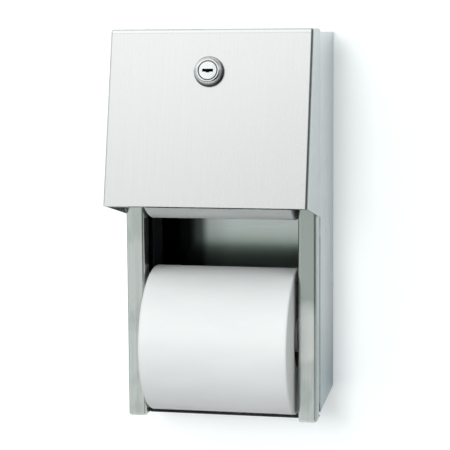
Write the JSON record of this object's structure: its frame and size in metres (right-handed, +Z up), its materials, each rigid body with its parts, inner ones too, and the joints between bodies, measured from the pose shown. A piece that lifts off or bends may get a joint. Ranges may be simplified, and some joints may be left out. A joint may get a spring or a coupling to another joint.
{
  "type": "toilet paper dispenser",
  "caption": "Wall-hung stainless toilet paper dispenser: a leaning locked door hides a spare roll on drop levers, above an open roll between channel legs",
  "frame": {"origin": "the middle of the wall-screw pattern, on the rear face of the back panel, at the wall plane", "axes": "+X to the viewer's right facing the door, +Y into the wall, +Z up"},
  "size_m": [0.1524, 0.1485, 0.301],
  "materials": {
    "stainless": "satin, vertical grain",
    "black_coat": "black coat",
    "lock_chrome": "bright",
    "plated_steel": "plated",
    "spring_wire": "drawn wire",
    "spindle_plastic": "moulded",
    "bush_nylon": "moulded",
    "core_board": "plain board",
    "tissue": "soft, wound"
  },
  "bodies": {
    "cabinet": {"back_panel": "stainless", "left_side_panel": "stainless", "right_side_panel": "stainless", "top_panel": "stainless", "left_leg_channel": "stainless", "right_leg_channel": "stainless", "bottom_tie_strap": "stainless", "left_rear_guide": "black_coat", "right_rear_guide": "black_coat", "lock_keeper": "stainless", "hinge_bushes": "bush_nylon", "lever_pins": "plated_steel", "lever_clips": "plated_steel"},
    "door": {"door_cover": "stainless", "hinge_studs": "plated_steel", "hinge_clips": "plated_steel", "lock_housing": "lock_chrome", "lock_nut": "plated_steel"},
    "lock_core": {"lock_plug": "lock_chrome", "lock_cam": "plated_steel", "cam_screw": "plated_steel"},
    "left_lever": {"left_drop_lever": "stainless", "left_lever_spring": "spring_wire"},
    "right_lever": {"right_drop_lever": "stainless", "right_lever_spring": "spring_wire"},
    "lower_spindle": {"lower_spindle_sleeve": "spindle_plastic", "lower_spindle_spring": "spring_wire"},
    "lower_plunger": {"lower_spindle_plunger": "spindle_plastic"},
    "lower_roll": {"lower_roll_core": "core_board", "lower_roll_paper": "tissue"},
    "upper_spindle": {"upper_spindle_sleeve": "spindle_plastic", "upper_spindle_spring": "spring_wire"},
    "upper_plunger": {"upper_spindle_plunger": "spindle_plastic"},
    "upper_roll": {"upper_roll_core": "core_board", "upper_roll_paper": "tissue"}
  },
  "joints": [
    {"name": "door_hinge", "type": "hinge", "parent": "cabinet", "child": "door", "pos_m": [0, -0.0856, 0.015], "axis": [1, 0, 0], "range_deg": [0, 60]},
    {"name": "lock_turn", "type": "hinge", "parent": "door", "child": "lock_core", "pos_m": [0, -0.1256, 0.11934], "axis": [0, 0.9736, -0.2281], "range_deg": [0, 90]},
    {"name": "lower_spindle_lift", "type": "slide", "parent": "cabinet", "child": "lower_spindle", "axis": [0, 0, 1], "range_m": [0, 0.02]},
    {"name": "lower_plunger_press", "type": "slide", "parent": "lower_spindle", "child": "lower_plunger", "axis": [-1, 0, 0], "range_m": [0, 0.0125], "stiffness_N_per_m": 400, "springref_m": -0.008, "deforming": ["lower_spindle_spring"]},
    {"name": "lower_roll_spin", "type": "hinge", "parent": "lower_spindle", "child": "lower_roll", "pos_m": [0, -0.0693, -0.091], "axis": [1, 0, 0], "continuous": true},
    {"name": "upper_spindle_lift", "type": "slide", "parent": "cabinet", "child": "upper_spindle", "axis": [0, 0, 1], "range_m": [0, 0.008]},
    {"name": "upper_plunger_press", "type": "slide", "parent": "upper_spindle", "child": "upper_plunger", "axis": [-1, 0, 0], "range_m": [0, 0.0125], "stiffness_N_per_m": 400, "springref_m": -0.008, "deforming": ["upper_spindle_spring"]},
    {"name": "upper_roll_spin", "type": "hinge", "parent": "upper_spindle", "child": "upper_roll", "pos_m": [0, -0.0693, 0.0612], "axis": [1, 0, 0], "continuous": true},
    {"name": "right_lever_drop", "type": "hinge", "parent": "cabinet", "child": "right_lever", "pos_m": [0.06275, -0.047, 0.05335], "axis": [1, 0, 0], "range_deg": [0, 75], "stiffness_Nm_per_rad": 0.02, "springref_deg": -85.94, "deforming": ["right_lever_spring"]},
    {"name": "left_lever_drop", "type": "hinge", "parent": "cabinet", "child": "left_lever", "pos_m": [-0.06275, -0.047, 0.05335], "axis": [1, 0, 0], "range_deg": [0, 75], "stiffness_Nm_per_rad": 0.02, "springref_deg": -85.94, "deforming": ["left_lever_spring"]}
  ],
  "couplings": [
    {"joint": "left_lever_drop", "follows": "right_lever_drop", "ratio": 1}
  ]
}
